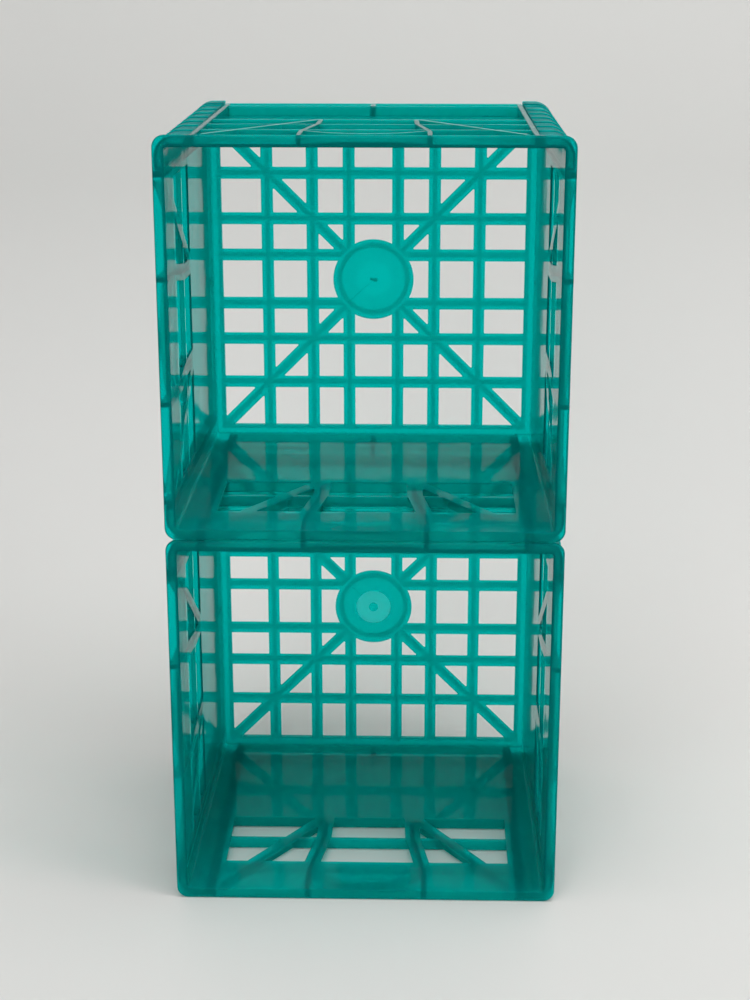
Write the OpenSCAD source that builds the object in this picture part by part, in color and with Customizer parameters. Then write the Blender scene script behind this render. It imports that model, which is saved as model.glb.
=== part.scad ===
// Two square storage crates of ribbed plastic, stacked on their sides with
// their mouths toward -Y.  Millimetres, +Z up, origin on the resting face
// under the middle of the stack.

/* [Crate] */
// Outside width and height of one crate across its rim
crate_w = 330; // [300:1:360]
// Depth from the rim's front face to the ends of the corner posts
crate_d = 300; // [280:1:320]
// Depth from the rim's front face to the inner face of the base
base_y = 290; // [270:1:294]
// Half width of the inside at the mouth
inside_front = 155.5; // [153:0.5:156]
// Half width of the inside at the base, less by the moulding draft
inside_back = 151.5; // [149:0.5:153]
// Thickness of the wall skin
skin_t = 2.2; // [1.6:0.1:3]

/* [Rim] */
// Thickness of the rim flange along the depth
rim_t = 4; // [3:0.5:6]
// Outside corner radius of the rim
corner_r = 10; // [6:1:14]

/* [Wall ribs] */
// Width of an ordinary rib
rib_w = 4; // [3:0.5:6]
// Distance of the rib tops from the crate's axis, just behind the rim
rib_top_front = 164.8; // [163:0.1:165]
// Distance of the rib tops from the crate's axis, at the base
rib_top_back = 163; // [162:0.1:164]
// Middle of the cross ribs, measured from the mouth
cross_rib_y = [48, 93.5, 135.5, 268];
// Middle of the long rib beside each corner post
edge_rib_x = 134; // [130:0.5:136]
// Width of the long rib beside each corner post
edge_rib_w = 4.5; // [3:0.5:6]

/* [Hand holds] */
// Half length of the hand slots
slot_x = 126.5; // [115:0.5:128]
// Near slot, start and end from the mouth
near_slot_y = [50, 91.5];
// Far slot, start and end from the mouth
far_slot_y = [95.5, 133.5];
// Width of the skin strip that carries each bent rib over the slots
bent_strip_w = 14; // [10:1:18]
// Width of the skin strip that carries each slanted rib over the slots
slant_strip_w = 11.3; // [8:0.1:16]

/* [Base] */
// Width of a base bar
bar_w = 11.3; // [9:0.1:14]
// Middle of the base bars on each side of the axis
bar_x = [23.05, 57.35, 99.7];
// Half width of the window field
field_x = 142.6; // [138:0.1:146]
// Thickness of the base bars
bar_t = 2.5; // [2:0.1:4]
// Depth of the ribs behind the base bars
bar_rib_t = 3.5; // [2:0.5:8]
// Radius of the gate boss
boss_r = 38; // [34:1:44]

/* [Corner posts] */
// Outside corner radius of the posts
post_r = 17; // [12:1:20]
// Distance of the posts' plain faces from the crate's axis
post_face = 163.7; // [162:0.1:164.5]
// Start of the posts' full-width feet, measured from the mouth
foot_y = 274; // [262:1:290]

/* [Hidden] */

half_w = crate_w / 2;
base_back_y = base_y + bar_t + bar_rib_t;
// The walls end where the posts' edge ribs begin
wall_x = edge_rib_x - edge_rib_w / 2;
// Rib paths on one wall, as [across, from the mouth]
bent_path = [[51, rim_t], [51, 38], [41, 97], [40, 135.5]];
slant_path = [[127, 12], [42, 135.5]];
// The curved rib of the hand hold sags from the bent ribs' knees to the rim
sag_end = [51, 42];
sag_low_y = 16;
sag_drop = sag_end[1] - sag_low_y;
sag_r = (sag_end[0] * sag_end[0] + sag_drop * sag_drop) / (2 * sag_drop);
sag_rib_w = 3;
// The grip pad behind the rim is a thicker patch of skin with an arched back edge
pad_half = 51;
pad_rise = 13;
pad_t = 2;
pad_r = (pad_half * pad_half + pad_rise * pad_rise) / (2 * pad_rise);
// Posts are hollow columns beside the long ribs, with fins all along them
column_gap = 1;
column_x = edge_rib_x + edge_rib_w / 2 + column_gap;
column_t = 2.2;
fin_w = 3;
fin_y = [44, 80, 116, 152, 188, 224, 260];
// The long ribs widen into a short tee where they meet the rim
tee_w = 8.5;
tee_l = 3.5;
// Back of the wall: a short rib joins the last cross rib and the back edge
nub_w = 5;
back_edge_w = 4;
// Gate boss: a ring behind it, a thin middle and the gate mark
boss_ring = [30, 34];
boss_thin_r = 17;
boss_thin_cut = 1;
gate_r = 4.5;
gate_t = 0.6;
teal = [0.00, 0.56, 0.49];
teal_light = [0.00, 0.65, 0.58];
teal_dark = [0.00, 0.47, 0.42];
big = 400;
$fn = 96;

// ---- helpers -----------------------------------------------------------

// Moves a crate whose mouth is at y = 0 and whose axis is at z = 0 into place
module placed(level) {
    translate([0, -crate_d / 2, half_w + level * crate_w]) children();
}

// Turns the top side of a crate to side k: 0 top, 1 right, 2 bottom, 3 left
module side(k) rotate([0, 90 * k, 0]) children();

// A band over the top wall whose lower and upper faces slope along the depth
module sloped_band(z_low, z_high, half_x) {
    rotate([90, 0, 90])
        translate([0, 0, -half_x])
            linear_extrude(2 * half_x)
                polygon([
                    [rim_t, z_low[0]], [base_y, z_low[1]], [base_back_y, z_low[1]],
                    [base_back_y, z_high[1]], [base_y, z_high[1]], [rim_t, z_high[0]]
                ]);
}

// A square block from the rim to the posts' ends, narrower toward the base
module drafted_block(z_front, z_back) {
    intersection_for (quarter = [0, 1])
        rotate([0, 90 * quarter, 0])
            rotate([90, 0, 90])
                translate([0, 0, -big / 2])
                    linear_extrude(big)
                        polygon([
                            [rim_t, -z_front], [rim_t, z_front], [base_y, z_back],
                            [crate_d, z_back], [crate_d, -z_back], [base_y, -z_back]
                        ]);
}

// Outline of a strip of width w along a path, with mitred bends
function left_of(d) = [-d[1], d[0]] / norm(d);
function before(path, i) = left_of(i == 0 ? path[1] - path[0] : path[i] - path[i - 1]);
function after(path, i) = i == len(path) - 1 ? before(path, i) : left_of(path[i + 1] - path[i]);
function mitre(path, i) =
    (before(path, i) + after(path, i)) / (1 + before(path, i) * after(path, i));
function strip(path, w) = concat(
    [for (i = [0 : len(path) - 1]) path[i] + mitre(path, i) * w / 2],
    [for (i = [len(path) - 1 : -1 : 0]) path[i] - mitre(path, i) * w / 2]);

// A strip on both sides of the wall's middle
module mirrored_strip(path, w) {
    for (m = [0, 1])
        mirror([m, 0]) polygon(strip(path, w));
}

module rect(x, y0, y1) translate([-x, y0]) square([2 * x, y1 - y0]);

module rounded_square(half, r) {
    for (turn = [0, 90])
        rotate(turn) square([2 * half, 2 * (half - r)], center = true);
    for (sx = [-1, 1], sy = [-1, 1])
        translate([sx * (half - r), sy * (half - r)]) circle(r);
}

// Stands a flat shape up in the x-z plane, from depth y0 to y1
module upright(y0, y1) {
    translate([0, y1, 0])
        rotate([90, 0, 0])
            linear_extrude(y1 - y0) children();
}

// ---- walls -------------------------------------------------------------

module wall_skin_plan() {
    intersection() {
        rect(wall_x, rim_t, base_back_y);
        union() {
            difference() {
                rect(wall_x, rim_t, base_back_y);
                rect(slot_x, near_slot_y[0], near_slot_y[1]);
                rect(slot_x, far_slot_y[0], far_slot_y[1]);
            }
            mirrored_strip(bent_path, bent_strip_w);
            mirrored_strip(slant_path, slant_strip_w);
        }
    }
}

module sagging_rib_plan() {
    intersection() {
        translate([0, sag_low_y + sag_r])
            difference() {
                circle(sag_r + sag_rib_w / 2);
                circle(sag_r - sag_rib_w / 2);
            }
        rect(sag_end[0], rim_t, sag_end[1]);
    }
}

module grip_pad_plan() {
    intersection() {
        translate([0, rim_t + pad_rise - pad_r]) circle(pad_r);
        rect(pad_half, rim_t, rim_t + pad_rise + 1);
    }
}

module wall_rib_plan() {
    intersection() {
        rect(wall_x, rim_t, base_back_y);
        union() {
            for (y = cross_rib_y)
                rect(wall_x, y - rib_w / 2, y + rib_w / 2);
            mirrored_strip(bent_path, rib_w);
            mirrored_strip(slant_path, rib_w);
            sagging_rib_plan();
            rect(nub_w / 2, cross_rib_y[3], base_back_y);
            rect(wall_x, base_back_y - back_edge_w, base_back_y);
        }
    }
}

module wall() {
    color(teal) {
        intersection() {
            translate([0, 0, inside_back - 1])
                linear_extrude(half_w - inside_back) wall_skin_plan();
            sloped_band([inside_front, inside_back],
                        [inside_front + skin_t, inside_back + skin_t], wall_x);
        }
        intersection() {
            translate([0, 0, inside_back])
                linear_extrude(half_w - inside_back) wall_rib_plan();
            sloped_band([inside_front + skin_t / 2, inside_back + skin_t / 2],
                        [rib_top_front, rib_top_back], wall_x);
        }
        intersection() {
            translate([0, 0, inside_back])
                linear_extrude(half_w - inside_back) grip_pad_plan();
            sloped_band([inside_front + skin_t / 2, inside_back + skin_t / 2],
                        [inside_front + skin_t + pad_t, inside_back + skin_t + pad_t], pad_half);
        }
    }
}

// ---- corner posts ------------------------------------------------------

// Section of a solid corner: faces at distance face, starting at start
module corner_plan(start, face) {
    intersection() {
        rounded_square(face, post_r - half_w + face);
        translate([start, start]) square(half_w);
    }
}

// A length of hollow column from depth y0 to y1
module column(y0, y1, face, hollow_face) {
    upright(y0, y1)
        difference() {
            corner_plan(column_x, face);
            corner_plan(column_x + column_t, hollow_face);
        }
}

module post_column() {
    difference() {
        union() {
            column(rim_t, crate_d, post_face, post_face - column_t);
            for (y = fin_y)
                column(y - fin_w / 2, y + fin_w / 2,
                       rib_top_front, post_face - column_t / 2);
            // Foot: the full-width end of the column
            column(foot_y, crate_d, half_w, post_face - column_t);
        }
        drafted_block(inside_front, inside_back);
    }
}

module post_skin() {
    intersection() {
        translate([wall_x, rim_t, wall_x]) cube([half_w, crate_d, half_w]);
        difference() {
            drafted_block(inside_front + skin_t, inside_back + skin_t);
            drafted_block(inside_front, inside_back);
        }
    }
}

module edge_ribs() {
    // A long rib beside the column on each wall; it widens into a tee at the rim
    for (flip = [0, 1])
        mirror([flip, 0, -flip])
            intersection() {
                union() {
                    translate([wall_x, rim_t, inside_back])
                        cube([edge_rib_w, base_back_y - rim_t, half_w - inside_back]);
                    translate([wall_x, rim_t, inside_back])
                        cube([tee_w, tee_l, half_w - inside_back]);
                }
                sloped_band([inside_front + skin_t / 2, inside_back + skin_t / 2],
                            [rib_top_front, rib_top_back], half_w);
            }
}

module post() {
    color(teal_dark) {
        post_column();
        post_skin();
        edge_ribs();
    }
}

// ---- rim ---------------------------------------------------------------

module rim() {
    color(teal)
        upright(0, rim_t)
            difference() {
                rounded_square(half_w, corner_r);
                square(2 * inside_front, center = true);
            }
}

// ---- base --------------------------------------------------------------

// Bars both ways and on both diagonals, with a width of w
module bar_plan(w) {
    for (turn = [0, 90], s = [-1, 1], x = bar_x)
        rotate(turn)
            translate([s * x, 0]) square([w, 2 * field_x], center = true);
    for (turn = [45, 135])
        rotate(turn) square([w, 2 * field_x * sqrt(2)], center = true);
}

module base_lattice() {
    color(teal) {
        upright(base_y, base_y + bar_t)
            difference() {
                intersection() {
                    bar_plan(bar_w);
                    square(2 * field_x, center = true);
                }
                circle(boss_r);
            }
        upright(base_y + bar_t, base_back_y)
            difference() {
                intersection() {
                    bar_plan(rib_w);
                    square(2 * field_x, center = true);
                }
                circle(boss_ring[1]);
            }
    }
}

module base_frame() {
    color(teal) {
        upright(base_y, base_y + bar_t)
            difference() {
                square(2 * inside_back, center = true);
                square(2 * field_x, center = true);
            }
        upright(base_y + bar_t, base_back_y)
            difference() {
                square(2 * field_x + 2 * rib_w, center = true);
                square(2 * field_x, center = true);
            }
    }
}

module gate_boss() {
    color(teal_light) {
        difference() {
            upright(base_y, base_y + bar_t) circle(boss_r);
            upright(base_y + bar_t - boss_thin_cut, base_y + bar_t + 1) circle(boss_thin_r);
        }
        upright(base_y + bar_t, base_back_y)
            difference() {
                circle(boss_ring[1]);
                circle(boss_ring[0]);
            }
        upright(base_y - gate_t, base_y) circle(gate_r);
    }
}

// ---- the two crates, region by region ----------------------------------

module lower_rim() placed(0) rim();
module lower_base_frame() placed(0) base_frame();
module lower_base_lattice() placed(0) base_lattice();
module lower_gate_boss() placed(0) gate_boss();
module lower_top_wall() placed(0) side(0) wall();
module lower_right_wall() placed(0) side(1) wall();
module lower_bottom_wall() placed(0) side(2) wall();
module lower_left_wall() placed(0) side(3) wall();
module lower_top_right_post() placed(0) side(0) post();
module lower_bottom_right_post() placed(0) side(1) post();
module lower_bottom_left_post() placed(0) side(2) post();
module lower_top_left_post() placed(0) side(3) post();

module upper_rim() placed(1) rim();
module upper_base_frame() placed(1) base_frame();
module upper_base_lattice() placed(1) base_lattice();
module upper_gate_boss() placed(1) gate_boss();
module upper_top_wall() placed(1) side(0) wall();
module upper_right_wall() placed(1) side(1) wall();
module upper_bottom_wall() placed(1) side(2) wall();
module upper_left_wall() placed(1) side(3) wall();
module upper_top_right_post() placed(1) side(0) post();
module upper_bottom_right_post() placed(1) side(1) post();
module upper_bottom_left_post() placed(1) side(2) post();
module upper_top_left_post() placed(1) side(3) post();

lower_rim();
lower_base_frame();
lower_base_lattice();
lower_gate_boss();
lower_top_wall();
lower_right_wall();
lower_bottom_wall();
lower_left_wall();
lower_top_right_post();
lower_bottom_right_post();
lower_bottom_left_post();
lower_top_left_post();
upper_rim();
upper_base_frame();
upper_base_lattice();
upper_gate_boss();
upper_top_wall();
upper_right_wall();
upper_bottom_wall();
upper_left_wall();
upper_top_right_post();
upper_bottom_right_post();
upper_bottom_left_post();
upper_top_left_post();
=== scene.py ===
import math

import bmesh
import bpy
from mathutils import Matrix, Vector


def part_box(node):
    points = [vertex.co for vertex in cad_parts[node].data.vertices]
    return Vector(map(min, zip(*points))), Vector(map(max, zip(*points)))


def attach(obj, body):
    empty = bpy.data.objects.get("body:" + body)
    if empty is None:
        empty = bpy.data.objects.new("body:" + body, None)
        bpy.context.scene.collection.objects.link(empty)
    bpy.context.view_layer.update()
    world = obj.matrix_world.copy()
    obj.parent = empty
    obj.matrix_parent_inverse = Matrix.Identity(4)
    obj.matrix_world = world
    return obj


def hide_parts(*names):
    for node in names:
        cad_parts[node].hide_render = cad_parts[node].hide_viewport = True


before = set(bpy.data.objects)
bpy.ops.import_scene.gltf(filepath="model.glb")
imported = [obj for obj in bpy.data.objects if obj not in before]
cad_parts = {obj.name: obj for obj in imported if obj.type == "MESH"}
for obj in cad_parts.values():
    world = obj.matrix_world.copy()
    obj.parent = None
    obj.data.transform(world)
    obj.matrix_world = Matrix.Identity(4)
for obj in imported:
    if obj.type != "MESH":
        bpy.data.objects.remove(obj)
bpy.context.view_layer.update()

MM = 0.001

# ---- sizes, in millimetres: a crate's own frame has x across, y from the mouth ----
# to the base and z outward from the crate's axis, as seen on its top side


def box_mm(node):
    """Lowest and highest corner of a CAD node, in millimetres."""
    low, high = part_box(node)
    return low / MM, high / MM


rim_low, rim_high = box_mm("lower_rim")
frame_low, frame_high = box_mm("lower_base_frame")
boss_low, boss_high = box_mm("lower_gate_boss")
post_high = box_mm("lower_top_right_post")[1]

HALF_W = (rim_high.x - rim_low.x) / 2
RIM_T = rim_high.y - rim_low.y
BASE_Y = frame_low.y - rim_low.y
BASE_BACK_Y = frame_high.y - rim_low.y
CRATE_D = post_high.y - rim_low.y
INSIDE_FRONT = 155.5
INSIDE_BACK = frame_high.x
SKIN_T = 2.2
CORNER_R = 10

RIB_W = 4
RIB_TOP_FRONT = 164.8
RIB_TOP_BACK = 163
CROSS_RIB_Y = (48, 93.5, 135.5, 268)
EDGE_RIB_X = 134
EDGE_RIB_W = 4.5
WALL_X = EDGE_RIB_X - EDGE_RIB_W / 2
TEE_W = 8.5
TEE_L = 3.5
NUB_W = 5
BACK_EDGE_W = 4

SLOT_X = 126.5
SLOTS_Y = ((50.06, 91.44), (95.56, 133.44))
BENT_PATH = ((51, RIM_T), (51, 38), (41, 97), (40, 135.5))
BENT_STRIP_W = 14
SLANT_PATH = ((127, 12), (42, 135.5))
SLANT_STRIP_W = 11.3
SAG_END = (51, 42)
SAG_LOW_Y = 16
SAG_RIB_W = 3
PAD_HALF = 51
PAD_RISE = 13
PAD_T = 2

BAR_W = 11.3
BAR_X = (23.05, 57.35, 99.7)
FIELD_X = 142.6
BAR_T = 2.5
BOSS_R = (boss_high.x - boss_low.x) / 2
BOSS_RING = (30, 34)
BOSS_THIN_R = 17
BOSS_THIN_CUT = 1
GATE_R = 4.5
GATE_T = 0.6
GATE_STUBS = ((-1.7, 0.4, 1.5), (1.8, -0.5, 2.1))
# Disc of painted backlight on the lower crate's gate boss
PAINTED_BACKLIGHT_R = 17
PAINTED_BACKLIGHT_CUT = 0.15
FLOW_LINE_W = 0.5
FLOW_LINE_CUT = 0.3
FLOW_LINES = (((-12, 12), (-21, 21)), ((-3, -3), (-24, -22)))

POST_R = 17
POST_FACE = 163.7
COLUMN_X = EDGE_RIB_X + EDGE_RIB_W / 2 + 1
COLUMN_T = 2.2
FIN_W = 3
FIN_Y = (44, 80, 116, 152, 188, 224, 260)
FOOT_Y = 274

# Edge roundings, which the CAD model leaves out
EDGE_R = 0.5
RIM_EDGE_R = 1.9
CROSS_RIB_EDGE_R = 1.5
WINDOW_EDGE_R = 0.9
WINDOW_R = 0.7
SLOT_CORNER_R = 1.2
INNER_CORNER_R = 2.5
ARC_ERROR = 0.015
CORNER_STEPS = 14
ROUND_STEPS = 3
SMOOTH_ANGLE = math.radians(35)
FLAT_ANGLE = math.radians(1.5)
FACET_WIDTH = 2.4
# Long faces are made of short ones, which the unions and cuts divide cleanly
STEP = 25
SIDE_STEPS = 13


# ---- plastic ---------------------------------------------------------------------


# Finishes of single faces, and a painted backlight on the lower crate's gate disc, which the plastic's
# shader reads from the mesh
PLAIN, DARK, PAINTED_BACKLIGHT, MATT = 0.0, 0.25, 0.5, 0.75
HALF_STEP = 0.125
GLOSSY_ROUGHNESS = 0.07
MATT_ROUGHNESS = 0.45
TINT = (0.0, 0.76, 0.755, 1)
TINT_DENSITY = 440
WAVE_SCALE = 22
WAVE_DEPTH = 0.0005
CLEAR_TEAL = (0.0, 0.86, 0.81, 1)
FINISH_AND_BACKLIGHT_COLOURS = {
    PLAIN: CLEAR_TEAL,
    DARK: (0.0, 0.3, 0.26, 1),
    # painted backlight: a pale colour for light shining through the boss's thin middle
    PAINTED_BACKLIGHT: (0.75, 1.0, 0.95, 1),
    MATT: CLEAR_TEAL,
}


def ramp(nodes, colours):
    """A colour ramp with steps halfway between the positions, clear of rounding."""
    node = nodes.new("ShaderNodeValToRGB")
    node.color_ramp.interpolation = "CONSTANT"
    stops = node.color_ramp.elements
    for i, (position, colour) in enumerate(colours.items()):
        stop = stops[i] if i < len(stops) else stops.new(position)
        stop.position = max(0.0, position - HALF_STEP)
        stop.color = colour
    return node


def teal_plastic():
    """Clear-tinted polypropylene: smooth, a little wavy, and milky inside."""
    material = bpy.data.materials.new("crate_plastic")
    material.use_nodes = True
    nodes = material.node_tree.nodes
    links = material.node_tree.links
    shader = nodes["Principled BSDF"]
    settings = {
        "IOR": 1.085,
        "Subsurface Weight": 1.0,
        "Subsurface Radius": (0.2, 1.0, 0.9),
        "Subsurface Scale": 0.006,
        "Transmission Weight": 0.85,
    }
    for key, value in settings.items():
        shader.inputs[key].default_value = value
    # The face attribute picks the roughness and the base colour, including the painted backlight disc
    finish_and_backlight = nodes.new("ShaderNodeAttribute")
    finish_and_backlight.attribute_name = "finish_and_backlight"
    colour = ramp(nodes, FINISH_AND_BACKLIGHT_COLOURS)
    rough = nodes.new("ShaderNodeMapRange")
    rough.interpolation_type = "STEPPED"
    rough.inputs["Steps"].default_value = 1
    rough.inputs["From Max"].default_value = MATT
    rough.inputs["To Min"].default_value = GLOSSY_ROUGHNESS
    rough.inputs["To Max"].default_value = MATT_ROUGHNESS
    links.new(finish_and_backlight.outputs["Fac"], colour.inputs["Fac"])
    links.new(colour.outputs["Color"], shader.inputs["Base Color"])
    links.new(finish_and_backlight.outputs["Fac"], rough.inputs["Value"])
    links.new(rough.outputs["Result"], shader.inputs["Roughness"])
    tint = nodes.new("ShaderNodeVolumeAbsorption")
    tint.inputs["Color"].default_value = TINT
    tint.inputs["Density"].default_value = TINT_DENSITY
    links.new(tint.outputs[0], nodes["Material Output"].inputs["Volume"])
    place = nodes.new("ShaderNodeTexCoord")
    waves = nodes.new("ShaderNodeTexNoise")
    waves.inputs["Scale"].default_value = WAVE_SCALE
    waves.inputs["Detail"].default_value = 1
    bump = nodes.new("ShaderNodeBump")
    bump.inputs["Distance"].default_value = WAVE_DEPTH
    links.new(place.outputs["Object"], waves.inputs["Vector"])
    links.new(waves.outputs[0], bump.inputs["Height"])
    links.new(bump.outputs[0], shader.inputs["Normal"])
    return material


# ---- flat outlines ---------------------------------------------------------------


def arc(cx, cy, radius, start, end, count=0):
    """Points of an arc from angle start to angle end, in radians, close to the true circle."""
    step = 2 * math.acos(max(0, 1 - ARC_ERROR / radius))
    count = count or max(2, math.ceil(abs(end - start) / step))
    angles = [start + (end - start) * i / count for i in range(count + 1)]
    return [(cx + radius * math.cos(a), cy + radius * math.sin(a)) for a in angles]


def rectangle(x0, y0, x1, y1):
    return [(x0, y0), (x1, y0), (x1, y1), (x0, y1)]


def turned_left(a, b):
    """The unit vector square to the left of the way from a to b."""
    dx, dy = b[0] - a[0], b[1] - a[1]
    length = math.hypot(dx, dy)
    return (-dy / length, dx / length)


def mitre(n0, n1):
    """Where two neighbouring edges meet once both have moved by one unit."""
    share = 1 + n0[0] * n1[0] + n0[1] * n1[1]
    return ((n0[0] + n1[0]) / share, (n0[1] + n1[1]) / share)


def inset(outline, distance):
    """A counterclockwise outline with every edge moved inward."""
    count = len(outline)
    moved = []
    for i, point in enumerate(outline):
        before = turned_left(outline[i - 1], point)
        after = turned_left(point, outline[(i + 1) % count])
        way = mitre(before, after)
        moved.append((point[0] + way[0] * distance, point[1] + way[1] * distance))
    return moved


def stepped(path):
    """The path with points added so that none of its steps is long."""
    points = [tuple(path[0])]
    for a, b in zip(path, path[1:]):
        count = math.ceil(math.dist(a, b) / STEP)
        for i in range(1, count + 1):
            points.append(tuple(u + (v - u) * i / count for u, v in zip(a, b)))
    return points


def strip(path, width):
    """Outline of a strip of that width along an open path."""
    path = stepped(path)
    normals = [turned_left(a, b) for a, b in zip(path, path[1:])]
    ways = [normals[0]]
    ways += [mitre(a, b) for a, b in zip(normals, normals[1:])]
    ways.append(normals[-1])
    half = width / 2
    left = [(p[0] + w[0] * half, p[1] + w[1] * half) for p, w in zip(path, ways)]
    right = [(p[0] - w[0] * half, p[1] - w[1] * half) for p, w in zip(path, ways)]
    return counterclockwise(right + left[::-1])


def counterclockwise(outline):
    area = sum(a[0] * b[1] - b[0] * a[1] for a, b in zip(outline, outline[1:] + outline[:1]))
    return outline if area > 0 else outline[::-1]


def mirrored(outline):
    return [(-x, y) for x, y in outline[::-1]]


def rounded(outline, radius):
    """A convex outline with its corners rounded, less where an edge is short."""
    count = len(outline)
    points = []
    for i, point in enumerate(outline):
        ahead = outline[(i + 1) % count]
        before = turned_left(outline[i - 1], point)
        after = turned_left(point, ahead)
        way = mitre(before, after)
        tangent = math.sqrt(max(math.hypot(*way) ** 2 - 1, 1e-6))
        room = 0.45 * min(math.dist(outline[i - 1], point), math.dist(point, ahead))
        fitted = min(radius, room / tangent)
        start = math.atan2(-before[1], -before[0])
        end = math.atan2(-after[1], -after[0])
        if end < start:
            end += 2 * math.pi
        points += arc(point[0] + way[0] * fitted, point[1] + way[1] * fitted, fitted, start, end)
    return points


def square_ring(half, radius):
    """A square outline with rounded corners and always the same number of points."""
    corners = ((1, 1), (-1, 1), (-1, -1), (1, -1))
    points = []
    for turn, (sx, sy) in enumerate(corners):
        start = turn * math.pi / 2
        reach = half - radius
        points += arc(sx * reach, sy * reach, radius, start, start + math.pi / 2, CORNER_STEPS)
        end_x, end_y = points[-1]
        for i in range(1, SIDE_STEPS):
            way = 2 * reach * i / SIDE_STEPS
            points.append((end_x - way * math.cos(start), end_y - way * math.sin(start)))
    return points


def clipped(outline, point, normal):
    """The part of a convex outline on the side that the normal points to."""
    kept = []
    for a, b in zip(outline, outline[1:] + outline[:1]):
        da = (a[0] - point[0]) * normal[0] + (a[1] - point[1]) * normal[1]
        db = (b[0] - point[0]) * normal[0] + (b[1] - point[1]) * normal[1]
        if da >= 0:
            kept.append(a)
        if da * db < 0:
            t = da / (da - db)
            kept.append((a[0] + (b[0] - a[0]) * t, a[1] + (b[1] - a[1]) * t))
    return kept


def split(cells, a, b, width):
    """Convex cells with a straight bar of that width, through a and b, taken out."""
    normal = turned_left(a, b)
    left = (a[0] + normal[0] * width / 2, a[1] + normal[1] * width / 2)
    right = (a[0] - normal[0] * width / 2, a[1] - normal[1] * width / 2)
    away = (-normal[0], -normal[1])
    parts = []
    for cell in cells:
        parts += [clipped(cell, left, normal), clipped(cell, right, away)]
    return [p for p in parts if len(p) > 2]


# ---- solids ----------------------------------------------------------------------


def solid(points, faces):
    """A closed mesh object with its faces turned outward, smooth on roundings and arcs only."""
    mesh = bpy.data.meshes.new("solid")
    mesh.from_pydata(points, [], faces)
    mesh.attributes.new("finish_and_backlight", "FLOAT", "FACE")
    work = bmesh.new()
    work.from_mesh(mesh)
    bmesh.ops.remove_doubles(work, verts=work.verts, dist=1e-5)
    bmesh.ops.recalc_face_normals(work, faces=work.faces)
    for face in work.faces:
        gentle = [e.calc_length() for e in face.edges if FLAT_ANGLE < e.calc_face_angle(0) < SMOOTH_ANGLE]
        face.smooth = bool(gentle) and face.calc_area() < FACET_WIDTH * max(gentle)
    work.to_mesh(mesh)
    work.free()
    obj = bpy.data.objects.new("solid", mesh)
    bpy.context.scene.collection.objects.link(obj)
    return obj


def loft(rings, closed=False):
    """A solid through rings with equal numbers of points, capped unless it closes on itself."""
    count = len(rings[0])
    points = [p for ring in rings for p in ring]
    faces = []
    last = len(rings) if closed else len(rings) - 1
    for r in range(last):
        here, there = r * count, (r + 1) % len(rings) * count
        for i in range(count):
            j = (i + 1) % count
            faces.append((here + i, here + j, there + j, there + i))
    if not closed:
        for first in (0, len(points) - count):
            faces += cap(first, count)
    return solid(points, faces)


def cap(first, count):
    """Faces across a ring of points, which pairs its two long sides."""
    if count % 2:
        return [tuple(range(first, first + count))]
    last = first + count - 1
    return [(first + i, first + i + 1, last - i - 1, last - i) for i in range(count // 2 - 1)]


def quarter_round(radius):
    """(inset, depth) pairs of a rounded edge, from the top face to the side."""
    angles = [math.pi / 2 * i / ROUND_STEPS for i in range(ROUND_STEPS + 1)]
    return [(radius * (1 - math.sin(a)), radius * (1 - math.cos(a))) for a in angles]


def lifted(outline, height, by=0.0):
    """An outline of (x, y) stood at height(y), moved outward by that much."""
    return [(x, y, height(y) + by) for x, y in outline]


def rib(outline, low, high, radius=EDGE_R):
    """A solid over an outline of (x, y), from low(y) to high(y), with a rounded top edge."""
    rings = [lifted(outline, low)]
    for inward, depth in quarter_round(radius)[::-1]:
        rings.append(lifted(inset(outline, inward), high, -depth))
    return loft(rings)


def cutter(outline, low, high, radius=EDGE_R):
    """The solid that cuts an opening with rounded edges between low(y) and high(y)."""
    beyond = 1.0
    rounding = quarter_round(radius)
    rings = [lifted(inset(outline, -radius), low, -beyond)]
    rings += [lifted(inset(outline, -i), low, d) for i, d in rounding]
    rings += [lifted(inset(outline, -i), high, -d) for i, d in rounding[::-1]]
    rings.append(lifted(inset(outline, -radius), high, beyond))
    return loft(rings)


def lathe(profile):
    """A solid turned about the crate's axis from a profile of (radius, y), flat at both ends."""
    count = 128
    turns = [2 * math.pi * i / count for i in range(count)]
    return loft([[(r * math.cos(a), y, r * math.sin(a)) for a in turns] for r, y in profile])


def sweep(profile):
    """A square ring with a profile of (half width, corner radius, y)."""
    rings = [[(x, y, z) for x, z in square_ring(half, r)] for half, r, y in profile]
    return loft(rings, closed=True)


def turned(obj, matrix):
    """obj with its mesh transformed."""
    obj.data.transform(matrix)
    if matrix.determinant() < 0:
        obj.data.flip_normals()
    return obj


def copied(obj, matrix):
    twin = obj.copy()
    twin.data = obj.data.copy()
    bpy.context.scene.collection.objects.link(twin)
    return turned(twin, matrix)


def combined(first, others, operation):
    """first united with the others, or cut by them; the others are used up."""
    group = bpy.data.collections.new("operands")
    bpy.context.scene.collection.children.link(group)
    for obj in others:
        bpy.context.scene.collection.objects.unlink(obj)
        group.objects.link(obj)
    step = first.modifiers.new("step", "BOOLEAN")
    step.operation = operation
    step.solver = "MANIFOLD"
    step.operand_type = "COLLECTION"
    step.collection = group
    graph = bpy.context.evaluated_depsgraph_get()
    mesh = bpy.data.meshes.new_from_object(first.evaluated_get(graph))
    first.modifiers.clear()
    first.data = mesh
    for obj in others:
        bpy.data.objects.remove(obj)
    bpy.data.collections.remove(group)
    return first


def united(parts):
    return combined(parts[0], parts[1:], "UNION")


def tinted(obj, finish_and_backlight):
    """obj with that value on all its faces; the values are finishes, dark marks and the painted
    backlight.
    """
    values = obj.data.attributes["finish_and_backlight"].data
    values.foreach_set("value", [finish_and_backlight] * len(values))
    return obj


# ---- the crate's regions ---------------------------------------------------------


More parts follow.
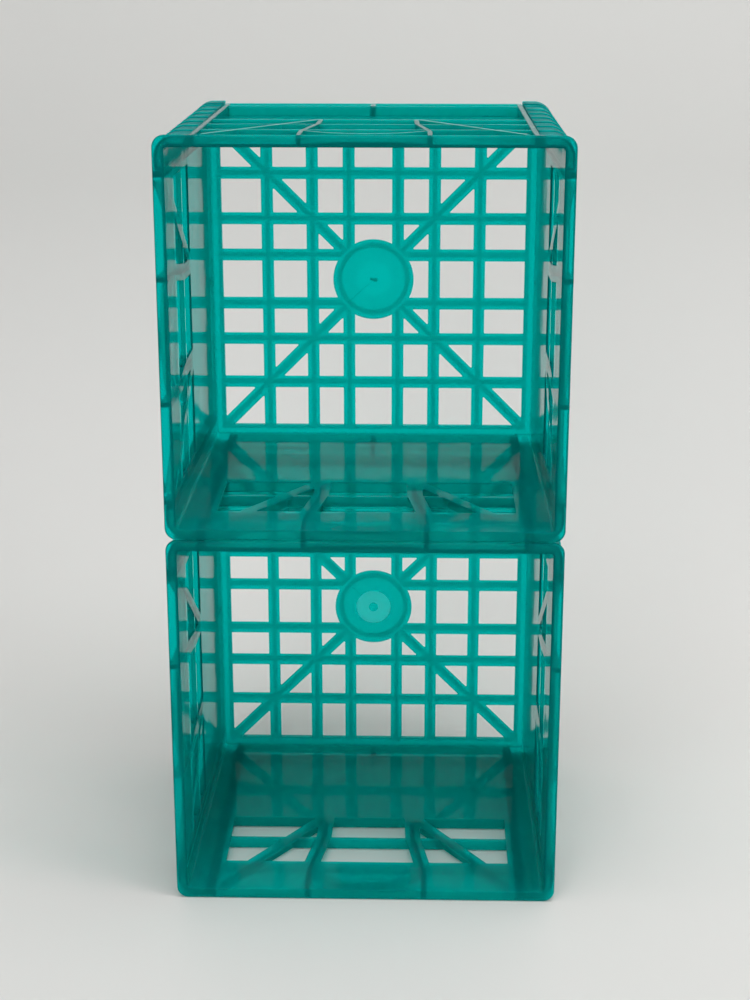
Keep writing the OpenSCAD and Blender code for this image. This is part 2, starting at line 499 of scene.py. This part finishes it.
def along(front, back):
    """A height that runs from front at the rim to back at the base."""
    slope = (back - front) / (BASE_Y - RIM_T)
    return lambda y: front + slope * (min(y, BASE_Y) - RIM_T)


inside = along(INSIDE_FRONT, INSIDE_BACK)
skin_mid = along(INSIDE_FRONT + SKIN_T / 2, INSIDE_BACK + SKIN_T / 2)
skin_out = along(INSIDE_FRONT + SKIN_T, INSIDE_BACK + SKIN_T)
rib_top = along(RIB_TOP_FRONT, RIB_TOP_BACK)


def shell():
    """The rim and the square tube of the four walls' skins, as one ring."""
    rounding = quarter_round(RIM_EDGE_R)
    half, inner = HALF_W, INSIDE_FRONT
    profile = [(half - i, CORNER_R - i, d) for i, d in rounding]
    profile += [(half - i, CORNER_R - i, RIM_T - d) for i, d in rounding[::-1]]
    profile += [
        (skin_out(RIM_T) + 0.8, 6.0, RIM_T),
        (skin_out(RIM_T), 5.0, RIM_T + 0.8),
        (skin_out(BASE_Y), 5.0, BASE_Y),
        (skin_out(BASE_Y), 5.0, BASE_BACK_Y),
        (inside(BASE_Y), INNER_CORNER_R, BASE_BACK_Y),
        (inside(BASE_Y), INNER_CORNER_R, BASE_Y),
    ]
    rounding = quarter_round(0.8)
    profile += [(inner + i, INNER_CORNER_R + i, d) for i, d in rounding[::-1]]
    return sweep(stepped(profile))


def slot_cells():
    """Outlines of the openings that the bent and slanted strips leave in the slots."""
    cells = []
    for y0, y1 in SLOTS_Y:
        parts = [rectangle(-SLOT_X, y0, SLOT_X, y1)]
        bent = next((a, b) for a, b in zip(BENT_PATH, BENT_PATH[1:]) if b[1] >= (y0 + y1) / 2)
        for sign in (-1, 1):
            for (a, b), width in ((bent, BENT_STRIP_W), (SLANT_PATH, SLANT_STRIP_W)):
                start = (sign * a[0], a[1])
                end = (sign * b[0], b[1])
                parts = split(parts, start, end, width)
        cells += parts
    return [rounded(c, SLOT_CORNER_R) for c in cells]


def wall_ribs():
    """The ribs on the outside of one wall."""
    across = WALL_X + 1
    cross = [strip(((-across, y), (across, y)), RIB_W) for y in CROSS_RIB_Y]
    outlines = []
    back_y = BASE_BACK_Y - BACK_EDGE_W / 2
    outlines.append(strip(((-across, back_y), (across, back_y)), BACK_EDGE_W))
    outlines.append(strip(((0, CROSS_RIB_Y[-1]), (0, back_y)), NUB_W))
    bent = strip(((BENT_PATH[0][0], RIM_T - 1),) + BENT_PATH[1:], RIB_W)
    slant = strip(SLANT_PATH, RIB_W)
    edge = strip(((EDGE_RIB_X, RIM_T - 1), (EDGE_RIB_X, BASE_BACK_Y)), EDGE_RIB_W)
    tee_x = WALL_X + TEE_W / 2
    tee = strip(((tee_x, RIM_T - 1), (tee_x, RIM_T + TEE_L)), TEE_W)
    for outline in (bent, slant, edge, tee):
        outlines += [outline, mirrored(outline)]
    outlines.append(sagging_rib())
    parts = [rib(o, skin_mid, rib_top) for o in outlines]
    parts += [rib(o, skin_mid, rib_top, CROSS_RIB_EDGE_R) for o in cross]
    parts.append(rib(grip_pad(), skin_mid, lambda y: skin_out(y) + PAD_T))
    return parts


def sagging_rib():
    drop = SAG_END[1] - SAG_LOW_Y
    radius = (SAG_END[0] ** 2 + drop**2) / (2 * drop)
    reach = math.asin(SAG_END[0] / radius)
    down = -math.pi / 2
    return strip(arc(0, SAG_LOW_Y + radius, radius, down - reach, down + reach), SAG_RIB_W)


def grip_pad():
    radius = (PAD_HALF**2 + PAD_RISE**2) / (2 * PAD_RISE)
    reach = math.asin(PAD_HALF / radius)
    up = math.pi / 2
    arch = arc(0, RIM_T + PAD_RISE - radius, radius, up + reach, up - reach)
    chord = [(x, RIM_T - 1) for x, y in arch]
    return counterclockwise(chord + arch[::-1])


def column_outline(face, thickness, low):
    """C-shaped section of a corner post in x and z, from low to the outer face."""
    middle_x = COLUMN_X + thickness / 2
    top = face - thickness / 2
    radius = POST_R - HALF_W + face
    centre = face - radius
    bend = arc(centre, centre, radius - thickness / 2, math.pi / 2, 0, CORNER_STEPS)
    path = [(middle_x, low), (middle_x, top)] + bend + [(top, middle_x), (low, middle_x)]
    return strip(path, thickness)


def column(y0, y1, face, thickness, low, radius=EDGE_R):
    """A length of post with rounded ends; low(y) is where its flanges start."""
    rounding = quarter_round(radius)
    stations = [(i, y0 + d) for i, d in rounding]
    stations += [(i, y1 - d) for i, d in rounding[::-1]]
    rings = []
    for inward, y in stations:
        outline = inset(column_outline(face, thickness, low(y)), inward)
        rings.append([(x, y, z) for x, z in outline])
    return loft(rings)


def post():
    """The hollow corner post between the top and the right wall, matt outside."""
    parts = [column(RIM_T - 1, CRATE_D, POST_FACE, COLUMN_T, skin_mid)]
    fin_y = [(y - FIN_W / 2, y + FIN_W / 2) for y in FIN_Y]
    parts += [column(y0, y1, RIB_TOP_FRONT, COLUMN_T, skin_mid) for y0, y1 in fin_y]
    parts.append(column(FOOT_Y, CRATE_D, HALF_W, COLUMN_T, skin_mid))
    return [tinted(p, MATT) for p in parts]


def base_plane(obj):
    """Turns a solid over (x, y) with heights in z into one over (x, z) with depths in y."""
    return turned(obj, Matrix(((1, 0, 0, 0), (0, 0, 1, 0), (0, 1, 0, 0), (0, 0, 0, 1))))


def base_windows():
    """Outlines of the windows that the bars leave in the base."""
    half = BAR_W / 2
    middles = sorted([-x for x in BAR_X] + list(BAR_X))
    edges = [-FIELD_X]
    for x in middles:
        edges += [x - half, x + half]
    edges.append(FIELD_X)
    gaps = list(zip(edges[::2], edges[1::2]))
    cells = []
    for x0, x1 in gaps:
        for z0, z1 in gaps:
            parts = [rectangle(x0, z0, x1, z1)]
            for end in ((1, 1), (1, -1)):
                parts = split(parts, (0, 0), end, BAR_W)
            cells += parts
    kept = [c for c in cells if max(math.hypot(*p) for p in c) > BOSS_R]
    return [rounded(c, WINDOW_R) for c in kept if narrowest(c) > 2 * WINDOW_R]


def narrowest(outline):
    """The inner width of a convex outline."""
    reach = 0
    for i, point in enumerate(outline):
        normal = turned_left(outline[i - 1], point)
        far = max((p[0] - point[0]) * normal[0] + (p[1] - point[1]) * normal[1] for p in outline)
        reach = far if i == 0 else min(reach, far)
    return reach


def flat(height):
    """The same height at every y."""
    return lambda y: height


def base():
    """The lattice with its windows, and the ribs behind it."""
    front, back = flat(BASE_Y), flat(BASE_Y + BAR_T)
    reach = INSIDE_BACK + SKIN_T / 2
    middle = BASE_Y + BAR_T / 2
    section = strip(((-reach, middle), (reach, middle)), BAR_T)
    stations = [x for x, _ in stepped(((-reach, 0), (reach, 0)))]
    plate = loft([[(x, y, z) for z, y in section] for x in stations])
    windows = [base_plane(cutter(o, front, back, WINDOW_EDGE_R)) for o in base_windows()]
    plate = combined(plate, windows, "DIFFERENCE")
    bars = []
    length = FIELD_X + RIB_W
    for x in BAR_X + (FIELD_X + RIB_W / 2,):
        for at in (-x, x):
            bars.append(strip(((at, -length), (at, length)), RIB_W))
            bars.append(strip(((-length, at), (length, at)), RIB_W))
    end = FIELD_X + RIB_W / 2
    for sign in (-1, 1):
        bars.append(strip(((-end, -sign * end), (end, sign * end)), RIB_W))
    return [plate] + [base_plane(rib(b, flat(middle), flat(BASE_BACK_Y))) for b in bars]


def boss():
    """The disc round the gate, with a thin middle and a ring behind it."""
    rounding = quarter_round(EDGE_R)
    blend = 0.4
    hub_r = 6
    disc_back = BASE_Y + BAR_T
    ring_in, ring_out = BOSS_RING
    profile = [(hub_r, BASE_Y)]
    profile += [(BOSS_R - i, BASE_Y + d) for i, d in rounding]
    profile += [(BOSS_R - i, disc_back - d) for i, d in rounding[::-1]]
    profile += [(ring_out + blend, disc_back), (ring_out, disc_back + blend)]
    profile += [(ring_out - i, BASE_BACK_Y - d) for i, d in rounding[::-1]]
    profile += [(ring_in + i, BASE_BACK_Y - d) for i, d in rounding]
    profile += [(ring_in, disc_back + blend), (ring_in - blend, disc_back)]
    profile += [(BOSS_THIN_R, disc_back), (BOSS_THIN_R - 0.5, disc_back - BOSS_THIN_CUT)]
    profile.append((hub_r, disc_back - BOSS_THIN_CUT))
    return lathe(profile)


def boss_hole():
    """What the base loses to the boss, but for its edge."""
    radius = BOSS_R - 1
    return lathe([(radius, BASE_Y - 1), (radius, BASE_BACK_Y + 1)])


def gated(obj, level):
    """A crate with the marks round its gate: a pad and a disc of painted backlight on the lower one, torn
    stubs on the upper.
    """
    front = BASE_Y - GATE_T
    line = strip(FLOW_LINES[level], FLOW_LINE_W)
    groove = rib(line, flat(BASE_Y - 1), flat(BASE_Y + FLOW_LINE_CUT), 0.1)
    cuts = [tinted(base_plane(groove), DARK)]
    if level == 0:
        # The lower crate's disc is painted paler: painted backlight for light showing through the boss's
        # thin middle
        disc = lathe([(PAINTED_BACKLIGHT_R, BASE_Y - 1), (PAINTED_BACKLIGHT_R, BASE_Y + PAINTED_BACKLIGHT_CUT)])
        cuts.append(tinted(disc, PAINTED_BACKLIGHT))
        marks = [lathe([
            (GATE_R - 1.6, BASE_Y - 0.15), (GATE_R - 1.2, front), (GATE_R - 0.2, front),
            (GATE_R, front + 0.2), (GATE_R, BASE_Y + 0.5),
        ])]
    else:
        marks = []
        for x, z, radius in GATE_STUBS:
            stub = lathe([(radius * 0.6, front), (radius, front + 0.4), (radius + 0.3, BASE_Y + 0.3)])
            marks.append(tinted(turned(stub, Matrix.Translation((x, 0, z))), DARK))
    return combined(combined(obj, cuts, "DIFFERENCE"), marks, "UNION")


def crate():
    """One whole moulding in its own frame, in millimetres."""
    tube = shell()
    panels = []
    for k in range(4):
        side = Matrix.Rotation(math.pi / 2 * k, 4, "Y")
        panels += [turned(cutter(o, inside, skin_out), side) for o in slot_cells()]
    tube = combined(tube, panels, "DIFFERENCE")
    side_parts = united(wall_ribs() + post())
    sides = [copied(side_parts, Matrix.Rotation(math.pi / 2 * k, 4, "Y")) for k in (1, 2, 3)]
    base_parts = combined(united(base()), [boss_hole()], "DIFFERENCE")
    return united([tube, side_parts] + sides + [base_parts, boss()])


whole = crate()


def finished(obj):
    """Keeps the shading sharp across steep edges."""
    work = bmesh.new()
    work.from_mesh(obj.data)
    for edge in work.edges:
        edge.smooth = edge.calc_face_angle(0) < SMOOTH_ANGLE
    work.to_mesh(obj.data)
    work.free()
    return obj


plastic = teal_plastic()

REGIONS = (
    "rim", "base_frame", "base_lattice", "gate_boss",
    "top_wall", "right_wall", "bottom_wall", "left_wall",
    "top_right_post", "bottom_right_post", "bottom_left_post", "top_left_post",
)


def placed(obj, level, name, body):
    """Stands a crate in the stack, in metres, and ties it to its CAD body."""
    place = Matrix.Translation((0, rim_low.y, HALF_W + level * 2 * HALF_W))
    twin = gated(copied(obj, Matrix.Identity(4)), level)
    turned(twin, Matrix.Scale(MM, 4) @ place)
    finished(twin)
    twin.data.materials.clear()
    twin.data.materials.append(plastic)
    twin.name = name
    twin.data.name = name
    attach(twin, body)
    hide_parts(*[f"{body.split('_')[0]}_{region}" for region in REGIONS])
    return twin


placed(whole, 0, "lower_crate_moulding", "lower_crate")
placed(whole, 1, "upper_crate_moulding", "upper_crate")
bpy.data.objects.remove(whole)


# ---- stage, light and camera -----------------------------------------------------

# The room's brightness as the crates get it and as the camera sees it
ROOM_LIGHT = 0.2
ROOM_SEEN = 0.8


def stage_material():
    material = bpy.data.materials.new("pale_stage")
    material.use_nodes = True
    nodes = material.node_tree.nodes
    links = material.node_tree.links
    shader = nodes["Principled BSDF"]
    shader.inputs["Base Color"].default_value = (0.72, 0.71, 0.69, 1)
    shader.inputs["Roughness"].default_value = 0.7
    clear = nodes.new("ShaderNodeBsdfTransparent")
    geometry = nodes.new("ShaderNodeNewGeometry")
    mix = nodes.new("ShaderNodeMixShader")
    links.new(geometry.outputs["Backfacing"], mix.inputs[0])
    links.new(shader.outputs[0], mix.inputs[1])
    links.new(clear.outputs[0], mix.inputs[2])
    links.new(mix.outputs[0], nodes["Material Output"].inputs[0])
    return material


def stage():
    """A floor that curves up into a backdrop; it can't be seen from below or behind."""
    half, near, far, rise, top = 6.0, -6.0, 0.9, 0.5, 6.0
    line = [(near, 0.0)]
    count = 24
    for i in range(count + 1):
        a = math.pi / 2 * i / count
        line.append((far - rise + rise * math.sin(a), rise - rise * math.cos(a)))
    line.append((far, top))
    points = [(x, y, z) for y, z in line for x in (-half, half)]
    faces = [(2 * i, 2 * i + 1, 2 * i + 3, 2 * i + 2) for i in range(len(line) - 1)]
    mesh = bpy.data.meshes.new("backdrop")
    mesh.from_pydata(points, [], faces)
    mesh.polygons.foreach_set("use_smooth", [True] * len(faces))
    obj = bpy.data.objects.new("backdrop", mesh)
    bpy.context.scene.collection.objects.link(obj)
    mesh.materials.append(stage_material())


def area_light(name, place, target, size, power):
    data = bpy.data.lights.new(name, "AREA")
    data.shape = "RECTANGLE"
    data.size, data.size_y = size
    data.energy = power
    obj = bpy.data.objects.new(name, data)
    bpy.context.scene.collection.objects.link(obj)
    obj.location = place
    obj.rotation_euler = (Vector(target) - Vector(place)).to_track_quat("-Z", "Y").to_euler()


def lights():
    """A dim room, lit by wide lamps above, beside and in front of the crates."""
    world = bpy.data.worlds.new("soft_room")
    world.use_nodes = True
    nodes = world.node_tree.nodes
    links = world.node_tree.links
    background = nodes["Background"]
    background.inputs["Color"].default_value = (0.95, 0.97, 1.0, 1)
    seen = nodes.new("ShaderNodeLightPath")
    amount = nodes.new("ShaderNodeMapRange")
    amount.inputs["To Min"].default_value = ROOM_LIGHT
    amount.inputs["To Max"].default_value = ROOM_SEEN
    links.new(seen.outputs["Is Camera Ray"], amount.inputs["Value"])
    links.new(amount.outputs["Result"], background.inputs["Strength"])
    bpy.context.scene.world = world
    area_light("overhead", (0.2, -0.6, 2.8), (0, 0.2, 0), (2.4, 1.6), 50)
    area_light("side", (2.6, -1.2, 1.5), (0, 0.2, 0.4), (1.4, 1.8), 20)
    area_light("front", (-0.5, -2.8, 2.0), (0, 0, 0.3), (1.6, 1.2), 22)


def camera():
    data = bpy.data.cameras.new("camera")
    data.lens = 66.635
    data.sensor_width = 36
    obj = bpy.data.objects.new("camera", data)
    bpy.context.scene.collection.objects.link(obj)
    obj.location = (0.04414, -1.5944, 0.8117)
    yaw, pitch = math.radians(1.41), math.radians(17.138)
    obj.rotation_euler = (math.pi / 2 - pitch, 0, yaw)
    bpy.context.scene.camera = obj


stage()
lights()
camera()
bpy.context.scene.view_settings.view_transform = "Standard"
